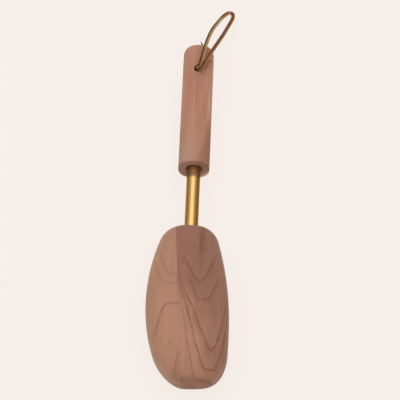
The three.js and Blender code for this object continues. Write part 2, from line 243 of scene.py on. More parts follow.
def sweep(name, path, facing, outline, closed=False, taper=0):
    """A tube along a path, which narrows to its tip over the taper's length. Its outline, (across, out)
    points, keeps its out side turned towards facing. Its UV map holds how far round the outline (0 to 1) and
    how far along the path (metres) a point lies."""
    count, sides = len(path), len(outline)
    points, along = [], [0.0]
    for i, (place, towards) in enumerate(zip(path, facing)):
        before = path[i - 1] if i or closed else place
        after = path[(i + 1) % count] if i + 1 < count or closed else place
        ahead = (after - before).normalized()
        across = ahead.cross(towards).normalized()
        out = across.cross(ahead)
        size = min(1, TIP_SHARE + (place - path[-1]).length / taper) if taper else 1
        points += [place + (across * a + out * o) * size for a, o in outline]
        along.append(along[-1] + (path[(i + 1) % count] - place).length)
    faces, marks = [], []
    for i in range(count if closed else count - 1):
        ring, following = i * sides, (i + 1) % count * sides
        for k in range(sides):
            next_k = (k + 1) % sides
            faces.append((ring + k, ring + next_k, following + next_k, following + k))
            marks += [(k, i), (k + 1, i), (k + 1, i + 1), (k, i + 1)]
    if not closed:
        faces.append(tuple(reversed(range(sides))))
        faces.append(tuple(range((count - 1) * sides, count * sides)))
        marks += [(k, 0) for k in reversed(range(sides))] + [(k, count - 1) for k in range(sides)]
    mesh = bpy.data.meshes.new(name)
    mesh.from_pydata(points, [], faces)
    layer = mesh.uv_layers.new(name="strip")
    for loop, (k, i) in zip(layer.data, marks):
        loop.uv = (k / sides, along[i])
    piece = bpy.data.objects.new(name, mesh)
    bpy.context.scene.collection.objects.link(piece)
    edit_all(piece)
    bpy.ops.mesh.normals_make_consistent(inside=False)
    bpy.ops.object.mode_set(mode="OBJECT")
    return smooth(piece, angle=60)


def through(points, steps):
    """A smooth line through points, with that many steps from one to the next. It is centripetal, so that it
    makes no kinks."""
    points = [Vector(p) for p in points]
    ends = [2 * points[0] - points[1], *points, 2 * points[-1] - points[-2]]
    line = []
    for a, b, c, d in zip(ends, ends[1:], ends[2:], ends[3:]):
        before, between, after = [math.sqrt((q - p).length) for p, q in ((a, b), (b, c), (c, d))]
        leave = (b - a) / before - (c - a) / (before + between) + (c - b) / between
        arrive = (c - b) / between - (d - b) / (between + after) + (d - c) / after
        for k in range(steps):
            t = k / steps
            line.append(b * (2 * t ** 3 - 3 * t ** 2 + 1) + leave * between * (t ** 3 - 2 * t ** 2 + t)
                        + c * (3 * t ** 2 - 2 * t ** 3) + arrive * between * (t ** 3 - t ** 2))
    return [*line, points[-1]]


def rounded_strip(width, thickness, power=4, sides=20):
    """The section of a flat strip with eased corners, as (across, out) points."""
    outline = []
    for k in range(sides):
        c, s = math.cos(2 * math.pi * k / sides), math.sin(2 * math.pi * k / sides)
        outline.append((math.copysign(abs(c) ** (2 / power), c) * width / 2,
                        math.copysign(abs(s) ** (2 / power), s) * thickness / 2))
    return outline


def dress(piece, material, body, slot, *nodes):
    """Gives a piece its material and its body, and lets it stand for its CAD nodes."""
    piece.data.materials.clear()
    piece.data.materials.append(material)
    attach(piece, body)
    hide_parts(*nodes)
    return piece


# Materials

NOISE_RANGE = {"From Min": 0.3, "From Max": 0.7}  # the values that most of a noise pattern has
FALLING = {"To Min": 1, "To Max": 0}


def linear(colour):
    """A #rrggbb colour as linear light."""
    channels = [int(colour[i:i + 2], 16) / 255 for i in (1, 3, 5)]
    return (*[c / 12.92 if c <= 0.04045 else ((c + 0.055) / 1.055) ** 2.4 for c in channels], 1)


def feed(node, links):
    """Gives a node's inputs, by name or number, a value or another node's output. A node alone stands for
    its first output."""
    for key, value in links.items():
        if isinstance(value, bpy.types.Node):
            value = value.outputs[0]
        if isinstance(value, bpy.types.NodeSocket):
            node.id_data.links.new(value, node.inputs[key])
        else:
            node.inputs[key].default_value = value


def add(tree, kind, *inputs, stops=(), **settings):
    """Adds a node with its settings and links. A second word in kind says how the node reckons. inputs go to
    its sockets in their order, or a dictionary names them. stops are a ramp's (place, colour) pairs."""
    kind, _, way = kind.partition(" ")
    made = tree.nodes.new("ShaderNode" + kind)
    if way:
        setattr(made, "interpolation_type" if kind == "MapRange" else "operation", way)
    for key, value in settings.items():
        setattr(made, key, value)
    for k, value in enumerate(inputs):
        feed(made, value if isinstance(value, dict) else {k: value})
    for k, (place, colour) in enumerate(stops):
        elements = made.color_ramp.elements
        stop = elements[k] if k < len(elements) else elements.new(place)
        stop.position = place
        stop.color = linear(colour) if isinstance(colour, str) else (colour, colour, colour, 1)
    return made


def material(name):
    """A new material, its node tree and its shader."""
    made = bpy.data.materials.new(name)
    made.use_nodes = True
    return made, made.node_tree, made.node_tree.nodes["Principled BSDF"]


def millimetres(tree):
    """The point on the piece, in millimetres."""
    place = add(tree, "TexCoord").outputs["Object"]
    return add(tree, "VectorMath SCALE", place, {"Scale": 1 / MM})


def lengthwise(tree, place, width, length, **look):
    """An irregular pattern, 0 to 1, of patches that are drawn out along Y. Their size is in millimetres."""
    patches = add(tree, "VectorMath MULTIPLY", place, (1 / width, 1 / length, 1 / width))
    return add(tree, "TexNoise", patches, {"Scale": 1, **look})


# Camera: the photograph's view, which looks at the instep and up at the handle's lower end

PHOTO_PIXELS = 400
FOCAL_PIXELS = 1950
TILT = math.radians(31)
YAW = math.radians(2.1)
AIM_DISTANCE = 1794 * MM
AIM_Y = 7.8 * MM
AXIS_COLUMN = 192.4  # where the tube's axis crosses the photograph's middle row


def photograph_camera():
    right = Vector((math.cos(YAW), math.sin(YAW), 0))
    ahead = Vector((-math.sin(YAW) * math.sin(TILT), math.cos(YAW) * math.sin(TILT), -math.cos(TILT)))
    up = right.cross(ahead)
    aside = (PHOTO_PIXELS / 2 - AXIS_COLUMN) / FOCAL_PIXELS * AIM_DISTANCE
    place = Vector((0, AIM_Y, AXIS_Z)) - AIM_DISTANCE * ahead + aside * right
    bpy.ops.object.camera_add()
    camera = bpy.context.object
    camera.matrix_world = Matrix.Translation(place) @ Matrix((right, up, -ahead)).transposed().to_4x4()
    camera.data.sensor_width = 36
    camera.data.lens = camera.data.sensor_width * FOCAL_PIXELS / PHOTO_PIXELS
    bpy.context.scene.camera = camera


photograph_camera()


# Lace

# The free loop's points in millimetres from the middle of the hole's front mouth: left strand out, right
# strand back
LOOP_POINTS = [
    (1.7, 1.2, 3.5), (3.3, 4.3, 8), (4.9, 10.8, 9.7), (6.8, 22.9, 6.6), (9.3, 36.9, 0.7),
    (12.8, 50.6, -5.4), (16.9, 64.7, -14.7), (20, 85.8, -36.3), (23.1, 89.7, -36.6), (25.9, 90.9, -35),
    (28.6, 90.5, -33.1), (31, 86.8, -30.4), (31.5, 82.5, -29.2), (30.2, 77.3, -28.1), (27.5, 69.6, -26.1),
    (23.4, 51, -13.5), (18.9, 34.4, -3.1), (14.4, 18.5, 6.6), (9.9, 4.8, 13.6), (6.4, -0.8, 11.6),
    (3.7, -3.2, 6.5),
]
# How far the strip's grain side is turned from the photograph's view towards the loop's outside, in degrees,
# at shares of its length
GRAIN_TURNS = [(0, 59), (0.12, 52), (0.48, 52), (0.55, 170), (0.86, 170), (0.93, 130), (1, 121)]
# The tails' points in millimetres from the middle of the knot
LONG_TAIL_POINTS = [
    (0, 0, 0), (0.8, 12, -2.6), (1.8, 28, -3.9), (2.9, 43, -4), (2.6, 52, -3.9), (0.6, 57.4, -3.8),
]
SHORT_TAIL_POINTS = [(0, 0, 0), (-4.5, -9, -2.6), (-8, -18, -3.9), (-9.5, -26, -4)]
TAIL_TAPER = 9 * MM  # the tails are cut to points
KNOT_WIDTH, KNOT_HEIGHT = 11 * MM, 7.6 * MM
KNOT_GAP = 0.3 * MM
TAIL_WIDTH, TAIL_THICKNESS = 2.6 * MM, 2.2 * MM
LACE_STEPS = 6
# Creases of the grain: cells round the strip, and cells in a millimetre of its length
CREASES_ROUND, CREASES_PER_MM = 6, 2.2
RAGGED_PER_MM, TONES_PER_MM = 0.35, 0.22
# Shares of the way round the strip: where a raw edge ends and the skin begins, and how ragged that line is
EDGE_SHARE, SKIN_SHARE, RAGGED = 0.1, 0.14, 0.03
knot_place = Vector((0, HOLE_Y, grip_low.z - KNOT_GAP - KNOT_HEIGHT / 2))


def lace_path():
    foot, mouth = knot_place.z + KNOT_HEIGHT / 2 - KNOT_GAP, grip_high.z
    in_hole = [foot + (mouth - foot) * share for share in (0, 0.25, 0.5, 0.75, 1)]
    aside, above = LACE_STRAND * math.cos(LACE_STRANDS_TURN), LACE_STRAND * math.sin(LACE_STRANDS_TURN)
    up = [(-aside, HOLE_Y + above, z) for z in in_hole]
    down = [(aside, HOLE_Y - above, z) for z in reversed(in_hole)]
    free = [(x * MM, HOLE_Y + y * MM, mouth + z * MM) for x, y, z in LOOP_POINTS]
    return through([*up, *free, *down], LACE_STEPS)


def lace_facing(line):
    """The grain side looks out of the loop. On the left strand it shows beside a cut edge. Past the loop's
    end the strip is turned over, and the right strand shows its flesh side."""
    to_viewer = Vector((0, -math.sin(TILT), math.cos(TILT)))
    last = len(line) - 1
    facing = []
    for k in range(len(line)):
        ahead = (line[min(k + 1, last)] - line[max(k - 1, 0)]).normalized()
        outside = to_viewer.cross(ahead).normalized()
        front = ahead.cross(outside)
        share = k / last
        for (start, turn), (end, next_turn) in zip(GRAIN_TURNS, GRAIN_TURNS[1:]):
            if start <= share <= end:
                angle = math.radians(turn + (next_turn - turn) * (share - start) / (end - start))
        facing.append(front * math.cos(angle) + outside * math.sin(angle))
    return facing


def trefoil(steps=72):
    """The run of the lace in the pulled-up knot."""
    wide = (KNOT_WIDTH - TAIL_WIDTH) / 2 / 3
    high = (KNOT_HEIGHT - TAIL_WIDTH) / 2
    line = []
    for k in range(steps):
        t = 2 * math.pi * k / steps
        x = wide * (math.sin(t) + 2 * math.sin(2 * t))
        y = wide * (math.cos(t) - 2 * math.cos(2 * t))
        line.append(knot_place + Vector((x, y, -high * math.sin(3 * t))))
    return line


def knot_with_tails():
    strip = rounded_strip(TAIL_WIDTH, TAIL_THICKNESS, power=3)
    run = trefoil()
    pieces = [sweep("lace_overhand_knot", run, [p - knot_place for p in run], strip, closed=True)]
    for name, points in (("long_tail", LONG_TAIL_POINTS), ("short_tail", SHORT_TAIL_POINTS)):
        line = through([knot_place + Vector(p) * MM for p in points], LACE_STEPS)
        pieces.append(sweep(name, line, [Vector((0, 0, 1))] * len(line), strip, taper=TAIL_TAPER))
    only(pieces[0])
    for piece in pieces:
        piece.select_set(True)
    bpy.ops.object.join()
    return pieces[0]


def lace_leather():
    # Vegetable-tanned cowhide lace, cut from a hide: a dark waxed grain side, a paler napped flesh side and
    # raw golden cut edges. The grain shows as fine creases, the wax as a soft gloss.
    made, tree, shader = material("waxed_cowhide_lace")
    strip = add(tree, "UVMap", uv_map="strip")
    around = add(tree, "SeparateXYZ", strip).outputs["X"]
    place = millimetres(tree)
    # Round the strip, 0 and 0.5 are the cut edges, 0.25 the grain side and 0.75 the flesh side
    from_edge = add(tree, "Math PINGPONG", around, 0.25)
    wander = add(tree, "TexNoise", place, {"Scale": RAGGED_PER_MM, "Detail": 2})
    ragged = add(tree, "MapRange", wander, {"To Min": -RAGGED, "To Max": RAGGED})
    depth = add(tree, "Math ADD", from_edge, ragged)
    skin = add(tree, "MapRange SMOOTHSTEP", depth, {"From Min": EDGE_SHARE, "From Max": SKIN_SHARE})
    flesh_side = add(tree, "Math GREATER_THAN", around, 0.5)
    tone = add(tree, "TexNoise", place, {"Scale": TONES_PER_MM, "Detail": 4, "Roughness": 0.65})
    raw = add(tree, "ValToRGB", tone, stops=[(0.3, "#a07a48"), (0.7, "#c39c69")])
    waxed = add(tree, "ValToRGB", tone, stops=[(0.3, "#3e2006"), (0.7, "#5a3411")])
    napped = add(tree, "ValToRGB", tone, stops=[(0.3, "#623416"), (0.7, "#80491f")])
    sides = add(tree, "MixRGB", flesh_side, waxed, napped)
    colour = add(tree, "MixRGB", skin, raw, sides)
    rough = add(tree, "MapRange", tone, {**NOISE_RANGE, "To Min": 0.45, "To Max": 0.65})
    crease_place = add(tree, "VectorMath MULTIPLY", strip, (CREASES_ROUND, CREASES_PER_MM / MM, 1))
    crease = add(tree, "TexVoronoi", crease_place, {"Scale": 1}, feature="DISTANCE_TO_EDGE")
    bump = add(tree, "Bump", {"Height": crease, "Strength": 0.5, "Distance": 0.12 * MM})
    feed(shader, {"Base Color": colour, "Roughness": rough, "Specular IOR Level": 0.15, "Normal": bump})
    return made


lace_line = lace_path()
lace = sweep("leather_lace", lace_line, lace_facing(lace_line), rounded_strip(LACE_WIDTH, LACE_THICKNESS))
knot = knot_with_tails()
leather = lace_leather()
dress(lace, leather, "loop", "leather", "lace_loop")
dress(knot, leather, "loop", "leather", "lace_knot")


# Forefoot block of two glued boards


def side_reach(along, widest, shoulder, toe):
    """Half width of one side: full at its widest place, bowed in to its two ends."""
    run, end = (widest, shoulder) if along < widest else (BLOCK_LENGTH - widest, toe)
    return BLOCK_HALF - (BLOCK_HALF - end) * (abs(along - widest) / run) ** SIDE_POWER


def edge_inset(distance, run, depth):
    """How far the round edge of an end draws the skin in."""
    within = max(0, 1 - distance / run)
    return depth * (1 - math.sqrt(1 - within * within))


def block_stations(edge_steps=14, straight_steps=26):
    straight = BLOCK_LENGTH - SHOULDER_ROUND - TOE_ROUND_RUN
    places = [SHOULDER_ROUND * (1 - math.sin(angle)) for angle in reversed(quarter(edge_steps)[1:])]
    places += [SHOULDER_ROUND + straight * k / straight_steps for k in range(straight_steps + 1)]
    places += [BLOCK_LENGTH - TOE_ROUND_RUN * (1 - math.sin(angle)) for angle in quarter(edge_steps)[1:]]
    stations = []
    for along in reversed(places):
        at_shoulder = edge_inset(along, SHOULDER_ROUND, SHOULDER_ROUND)
        inset = at_shoulder + edge_inset(BLOCK_LENGTH - along, TOE_ROUND_RUN, TOE_ROUND)
        drawn_in = at_shoulder + edge_inset(BLOCK_LENGTH - along, TOE_ROUND_RUN, TOE_DROP)
        stations.append((SHOULDER_Y - along,
                         side_reach(along, LATERAL_WIDEST, LATERAL_SHOULDER, LATERAL_TOE) - inset,
                         side_reach(along, MEDIAL_WIDEST, MEDIAL_SHOULDER, MEDIAL_TOE) - inset,
                         INSTEP_RISE + (TOE_RISE - INSTEP_RISE) * along / BLOCK_LENGTH - drawn_in,
                         AXIS_Z + SOLE_PLANED - drawn_in))
    return stations


def brad_hole():
    """Cutter for a sunk brad's head, open towards -Y."""
    radius = BRAD_HEAD + CLEARANCE
    return turned("brad_hole", [(-REACH_PAST, radius), (BRAD_HEAD_HEIGHT + CLEARANCE, radius)])


def cedar_boards():
    block = loft("lateral_cedar_board", BLOCK_SECTION_POWER, block_stations(), corner_steps=18)
    lateral = settle(block, (0, 0, AXIS_Z))
    plane_off(lateral, (0, 0, 0), (0, 0, -1))
    only(lateral)
    bpy.ops.object.duplicate()
    medial = bpy.context.object
    medial.name = "medial_cedar_board"
    middle = Vector(((GLUE_AT_SHOULDER + GLUE_AT_TOE) / 2, (SHOULDER_Y + TOE_Y) / 2, AXIS_Z))
    across = Vector((BLOCK_LENGTH, GLUE_AT_TOE - GLUE_AT_SHOULDER, 0)).normalized()
    bore_ends = [(tube_low.y - CLEARANCE, BORE_RADIUS), (SHOULDER_Y + REACH_PAST, BORE_RADIUS)]
    for board, side in ((lateral, 1), (medial, -1)):
        plane_off(board, middle - across * side * GLUE_FILM / 2, across * side)
        apply(board, "BEVEL", width=BOARD_EDGE, segments=2, limit_method="ANGLE",
              angle_limit=math.radians(50))
        carve(board, settle(turned("bore", bore_ends, corner_steps=16), (0, 0, AXIS_Z)))
    carve(medial, settle(brad_hole(), *SOLE_BRAD_SEAT))
    return smooth(lateral), smooth(medial)


# Cedar: sizes of its patterns across and along the grain, in millimetres, and the tones that all pieces
# share. Single fibres are too fine to show, so that they are drawn as bundles.
FIBRE_SIZE, DRIFT_SIZE, FLECK_SIZE, JAG_SIZE = (0.7, 22), (13, 55), (1.6, 9), (2.2, 45)
# The pale tones serve the handle's sapwood, and painted light on the outer board's shoulder
SAPWOOD_AND_LIT, SAPWOOD_AND_LIT_END, GREYER_TONE = "#cb9c78", "#d2bc9c", "#b0a08e"
TONE_PLACES = (0.4, 0.62, 0.85)
FIBRE_CONTRAST, LINE_RELIEF = 0.25, 0.6
# How squarely a face cuts the fibres where its end grain begins to show, and how much of it shows at most
END_GRAIN_START, END_GRAIN_SHARE = 0.68, 0.7


def cedar_fibre(tree, place):
    return lengthwise(tree, place, *FIBRE_SIZE, Detail=3, Roughness=0.6)


def cedar_finish(tree, shader, place, line, tones, latewood, end_tone, lean=0.0, pale=0.0, greyed=0.0):
    """Sanded, unvarnished red cedar round a given figure. line is 1 on a ring's dark edge, lean makes the
    wood paler or darker from place to place, pale is 1 in a streak of tan sapwood and in painted light,
    and greyed is 1 where it is greyer. Fibres run along Y."""
    fibre = cedar_fibre(tree, place)
    drift = lengthwise(tree, place, *DRIFT_SIZE, Detail=2)
    tone = add(tree, "Math MULTIPLY_ADD", fibre, FIBRE_CONTRAST, drift)
    tone = add(tree, "Math ADD", tone, lean)
    wood = add(tree, "ValToRGB", tone, stops=zip(TONE_PLACES, tones))
    wood = add(tree, "MixRGB", pale, wood, linear(SAPWOOD_AND_LIT))
    flecks = lengthwise(tree, place, *FLECK_SIZE, Detail=1)
    flecks = add(tree, "MapRange", flecks, {"From Min": 0.7, "From Max": 0.8, "To Max": 0.5})
    marks = add(tree, "Math MAXIMUM", line, flecks)
    lined = add(tree, "MixRGB", marks, wood, linear(latewood))
    # Cut across its fibres the wood drinks light: the ends are darker and greyer than the sides
    facing = add(tree, "SeparateXYZ", add(tree, "TexCoord").outputs["Normal"])
    across = add(tree, "Math ABSOLUTE", facing.outputs["Y"])
    end_grain = add(tree, "MapRange SMOOTHSTEP", across, {"From Min": END_GRAIN_START, "From Max": 1,
                                                          "To Max": END_GRAIN_SHARE})
    end_wood = add(tree, "MixRGB", pale, linear(end_tone), linear(SAPWOOD_AND_LIT_END))
    end_wood = add(tree, "MixRGB", marks, end_wood, linear(latewood))
    colour = add(tree, "MixRGB", end_grain, lined, end_wood)
    colour = add(tree, "MixRGB", greyed, colour, linear(GREYER_TONE))
    rough = add(tree, "MapRange", fibre, {**NOISE_RANGE, "To Min": 0.55, "To Max": 0.72})
    height = add(tree, "Math MULTIPLY_ADD", line, LINE_RELIEF, fibre)
    bump = add(tree, "Bump", {"Height": height, "Strength": 0.3, "Distance": 0.12 * MM})
    feed(shader, {"Base Color": colour, "Roughness": rough, "Specular IOR Level": 0.3, "Normal": bump})
    # Fine fibres that the sanding left standing give a pale bloom where the wood turns away
    feed(shader, {"Sheen Weight": 0.12, "Sheen Roughness": 0.45})


def wavering(tree, place, size, amount):
    """The point, moved by up to an amount so that the rings waver along the grain, in waves of a size."""
    slow = add(tree, "VectorMath MULTIPLY", place, (1 / size, 0.6 / size, 1 / size))
    noise = add(tree, "TexNoise", slow, {"Scale": 1, "Detail": 2})
    shift = add(tree, "VectorMath SUBTRACT", noise.outputs["Color"], (0.5, 0.5, 0.5))
    return add(tree, "VectorMath MULTIPLY_ADD", shift, [2 * amount] * 3, place)


# Year rings of the boards, in millimetres: the trunk's middle (x, z), and how far from it each ring ends.
# The trunk is bowed: with the square of the distance from one place along the board its rings come closer to
# its middle, or go out from it where the bow is below 0.
LATERAL_PITH, LATERAL_BOW_Y, LATERAL_BOW = (-13.2, 14.2), -90, 0.00166
LATERAL_RINGS = [8, 12, 15, 17.5, 20, 22, 24.2, 26, 28, 29.7, 31.6, 33.2, 36, 42]
MEDIAL_PITH, MEDIAL_BOW_Y, MEDIAL_BOW = (12, 72), -110, -0.0009
MEDIAL_RINGS = [20, 38, 42, 45, 49, 52.5, 55, 58.5, 62, 64, 67.5, 70, 71.6, 72.4, 73.6, 75, 80]


def pith_distance(tree, at, pith):
    """How far a point lies from the trunk's middle, which runs along Y at pith (x, z)."""
    aside = add(tree, "VectorMath MULTIPLY_ADD", at, (1, 0, 1), (-pith[0], 0, -pith[1]))
    return add(tree, "VectorMath LENGTH", aside).outputs["Value"]


def bowed_rings(tree, radius, along, bow, ends, start, dark):
    """The dark edges of a bowed trunk's rings. A ring darkens from its share start to its end."""
    squared = add(tree, "Math MULTIPLY", along, along)
    field = add(tree, "Math MULTIPLY_ADD", squared, bow, radius)
    first, last, count = ends[0], ends[-1], len(ends) - 1
    share = add(tree, "MapRange", field, {"From Min": first, "From Max": last})
    stops = [((end - first) / (last - first), k / count) for k, end in enumerate(ends)]
    number = add(tree, "ValToRGB", share, stops=stops)
    number = add(tree, "Math MULTIPLY", number, count)
    across = add(tree, "Math FRACT", number)
    return add(tree, "MapRange SMOOTHSTEP", across, {"From Min": start, "From Max": 1, "To Max": dark})


# Rings that show as arches on a board's front, in millimetres: the arch's foot (x, y), then for its left and
# its right arm how far it stays flat, how wide its bend is and how steeply it then rises; which way it opens
# (1 to the tube, -1 to the toe), how dark it is, and how far its arms reach. In a nest the inner arches come
# first.
PLAIN_ARM = (30, 5, 5)
MEDIAL_NESTS = [
    [((11.1, -61.4), (0, 0.6, 1.3), (0.5, 2, 9), 1, 0.45, 17),
     ((10.6, -72.6), (0, 0.6, 1.35), (0.5, 2, 9), 1, 0.45, 22),
     ((9, -87.9), (0.4, 1.2, 2.05), (2.4, 25, 12), 1, 0.9, 26),
     ((11, -106.2), (0, 18.5, 12), (4.1, 25, 9.8), 1, 0.8, 27),
     ((21.6, -153.9), (0.3, 0.4, 2.45), (0.5, 15.7, 12), 1, 0.9, 75),
     ((21.2, -170.3), (3, 4.8, 4), (2.8, 16.6, 12), 1, 0.85, 90),
     ((15, -177.6), (4.4, 4, 5.8), (0, 5, -0.5), 1, 0.5, 85)],
    [((7, -184), (0, 4, 1.1), (0, 3, -1.5), 1, 0.65, 13)],
]
LATERAL_NESTS = [
    [((-10.8, -82.1), (2.4, 25, 7.3), PLAIN_ARM, 1, 0.5, 32),
     ((-9.3, -91), (7.5, 25, 6.8), PLAIN_ARM, 1, 0.5, 32)],
    [((-4.2, -158.6), (1.6, 2.5, 12), PLAIN_ARM, -1, 0.8, 26),
     ((-11.5, -111.1), (6.3, 17.5, 12), PLAIN_ARM, -1, 0.85, 40)],
    [((-3, -179.5), (1, 3, 3), PLAIN_ARM, 1, 0.6, 10)],
]
# Streaks along the fibres: their ends (x, y), how wide and how strong they are
MEDIAL_STREAKS = [((11.2, -28), (10.2, -72), 4.5, 0.75), ((11.6, -68), (10.2, -78), 1.8, 0.55),
                  ((0.3, -110), (1.2, -180), 0.7, 0.5)]
LATERAL_STREAKS = [((-14.2, -147.2), (-14.2, -152.2), 0.9, 0.8), ((-23.5, -99.3), (-23.5, -102.7), 1, 0.6),
                   ((-5.5, -150), (-5.5, -184), 3, 0.25)]
FRONT_EDGE_Z = 38  # millimetres; below it a board's side begins
LINE_START, LINE_FULL = 0.7, -0.2  # millimetres from a ring's edge towards the tube, where its line sets in
LINE_FADE = 9  # millimetres over which the dark line fades towards the toe
TOEWARD_FADE = [(0, 1.0), (0.07, 0.8), (0.16, 0.36), (0.3, 0.17), (0.5, 0.07), (1, 0.0)]
ARM_FADE = 0.6  # the share of an arch's reach, and of a streak's half length, from which it fades
COVER_EDGE = 0.8  # millimetres inside an arch, from which it hides those that go round it
FEATHER, JAG = 3, 5  # millimetres along the fibres
TOE_FACE_Z, TOE_FACE_SPREAD = 30, 0.6  # below this height the rings go on down the toe's end face
SIDE_START, SIDE_FULL = 2, 9  # millimetres below the front's edge, where a side's own rings set in
RING_PATCHES_PER_MM = 0.11  # patches in which the rings are darker or fainter
# How the boards' tone leans, paler above 0 and darker below it: by millimetres of x or y, and in the inner
# board's dark part beside the tube, which fades out between these places
LATERAL_LEAN_Y = -0.002
MEDIAL_LEAN, MEDIAL_LEAN_X, MEDIAL_LEAN_Y = 0.19, -0.016, -0.003
UPPER_LEAN, UPPER_START_Y, UPPER_FULL_Y = -0.3, -115, -80
UPPER_FULL_X, UPPER_END_X = 11, 21
BY_GLUE_SHARE, BY_GLUE_X, BY_GLUE_END_X = 0.45, -10, 4  # it is darker yet beside the glue joint
# Painted light: the outer board's shoulder is painted paler where its side catches the lamp
SHOULDER_LIT, SHOULDER_LIT_X, SHOULDER_FULL_X = 0.5, -23, -33
SHOULDER_LIT_Y, SHOULDER_FULL_Y = -95, -60


def arch_distance(tree, x, risen, middle, left, right):
    """How deep a point lies inside one arch, in millimetres. risen is its height above the arch's foot."""
    aside = add(tree, "Math SUBTRACT", x, middle)
    level, steepness = risen, 1.0
    for sign, (flat, bend, rise) in ((-1, left), (1, right)):
        out = add(tree, "Math MULTIPLY_ADD", aside, sign, -flat)
        out = add(tree, "Math MAXIMUM", out, 0)
        slant = add(tree, "Math MULTIPLY_ADD", out, out, bend ** 2)
        slant = add(tree, "Math POWER", slant, 0.5)
        drop = add(tree, "Math MULTIPLY_ADD", slant, -rise, rise * bend)
        level = add(tree, "Math ADD", level, drop)
        slope = add(tree, "Math DIVIDE", out, slant)
        slope = add(tree, "Math MULTIPLY", slope, rise)
        steepness = add(tree, "Math MULTIPLY_ADD", slope, slope, steepness)
    steepness = add(tree, "Math POWER", steepness, 0.5)
    return add(tree, "Math DIVIDE", level, steepness)


def arch_lines(tree, x, y, arches):
    """The dark edges of all arches: sharp on the side of the tube, fading towards the toe. An arch ends
    where it meets one that it goes round, so that no two cross."""
    lines, covered = 0.0, 0.0
    for (middle, foot), left, right, opens, dark, reach in arches:
        risen = add(tree, "Math MULTIPLY_ADD", y, opens, -foot * opens)
        inside = arch_distance(tree, x, risen, middle, left, right)
        rising = add(tree, "MapRange", inside, {"From Min": LINE_START * opens,
                                                "From Max": LINE_FULL * opens, "To Max": dark})
        deep = add(tree, "MapRange", inside, {"From Max": -LINE_FADE * opens})
        fading = add(tree, "ValToRGB", deep, stops=TOEWARD_FADE)
        line = add(tree, "Math MULTIPLY", rising, fading)
        arms = add(tree, "MapRange", risen, {"From Min": ARM_FADE * reach, "From Max": reach, **FALLING})
        line = add(tree, "Math MULTIPLY", line, arms)
        free = add(tree, "Math SUBTRACT", 1, covered)
        line = add(tree, "Math MULTIPLY", line, free)
        lines = add(tree, "Math MAXIMUM", line, lines)
        own = add(tree, "MapRange", inside, {"From Max": COVER_EDGE})
        covered = add(tree, "Math MAXIMUM", own, covered)
    return lines


def streak(tree, x, y, start, end, width, strength):
    """A streak between two points, which fades to its sides and its ends."""
    half = abs(start[1] - end[1]) / 2
    middle = add(tree, "MapRange", y, {"From Min": start[1], "From Max": end[1], "To Min": start[0],
                                       "To Max": end[0]})
    aside = add(tree, "Math SUBTRACT", x, middle)
    aside = add(tree, "Math ABSOLUTE", aside)
    along = add(tree, "Math SUBTRACT", y, (start[1] + end[1]) / 2)
    along = add(tree, "Math ABSOLUTE", along)
    across = add(tree, "MapRange SMOOTHSTEP", aside, {"From Max": width, "To Min": strength, "To Max": 0})
    length = add(tree, "MapRange", along, {"From Min": ARM_FADE * half, "From Max": half, **FALLING})
    return add(tree, "Math MULTIPLY", across, length)


def board_figure(tree, place, nests, streaks, side_rings, outwards):
    """The dark edges of all rings: arches on the front, side_rings below it. Their darkness comes and goes.
    outwards is the board's free side, 1 for +X."""
    x, y, z = add(tree, "SeparateXYZ", wavering(tree, place, size=9, amount=1.1)).outputs
    # The front's edge comes down with the round toe
    toe_share = add(tree, "MapRange", y, {"From Min": (TOE_Y + TOE_ROUND_RUN) / MM, "From Max": TOE_Y / MM})
    left_over = add(tree, "Math MULTIPLY", toe_share, toe_share)
    left_over = add(tree, "Math SUBTRACT", 1, left_over)
    left_over = add(tree, "Math POWER", left_over, 0.5)
    toe_drop = TOE_DROP / MM
    front_edge = add(tree, "Math MULTIPLY_ADD", left_over, toe_drop, FRONT_EDGE_Z - toe_drop)
    under = add(tree, "Math SUBTRACT", front_edge, z)
    under = add(tree, "Math MAXIMUM", under, 0)
    unrolled = add(tree, "Math MULTIPLY_ADD", under, outwards, x)
    # Along the fibres the rings' edges are feathered and jagged, less so where the toe turns across them
    jag = lengthwise(tree, place, *JAG_SIZE, Detail=1)
    shift = add(tree, "Math MULTIPLY_ADD", jag, JAG, -(JAG + FEATHER) / 2)
    shift = add(tree, "Math MULTIPLY_ADD", cedar_fibre(tree, place), FEATHER, shift)
    y = add(tree, "Math MULTIPLY_ADD", shift, left_over, y)
    down_toe = add(tree, "Math SUBTRACT", TOE_FACE_Z, z)
    down_toe = add(tree, "Math MAXIMUM", down_toe, 0)
    down_toe = add(tree, "Math MULTIPLY", down_toe, toe_share)
    y = add(tree, "Math MULTIPLY_ADD", down_toe, -TOE_FACE_SPREAD, y)
    line = 0.0
    for arches in nests:
        line = add(tree, "Math MAXIMUM", arch_lines(tree, unrolled, y, arches), line)
    for mark in streaks:
        line = add(tree, "Math MAXIMUM", streak(tree, unrolled, y, *mark), line)
    low = add(tree, "MapRange SMOOTHSTEP", under, {"From Min": SIDE_START, "From Max": SIDE_FULL})
    side_line = add(tree, "Math MULTIPLY", side_rings, low)
    line = add(tree, "Math MAXIMUM", line, side_line)
    patchy = add(tree, "TexNoise", place, {"Scale": RING_PATCHES_PER_MM, "Detail": 3})
    strength = add(tree, "MapRange", patchy, {"From Min": 0.3, "From Max": 0.65, "To Min": 0.45,
                                              "To Max": 1})
    return add(tree, "Math MULTIPLY", line, strength)


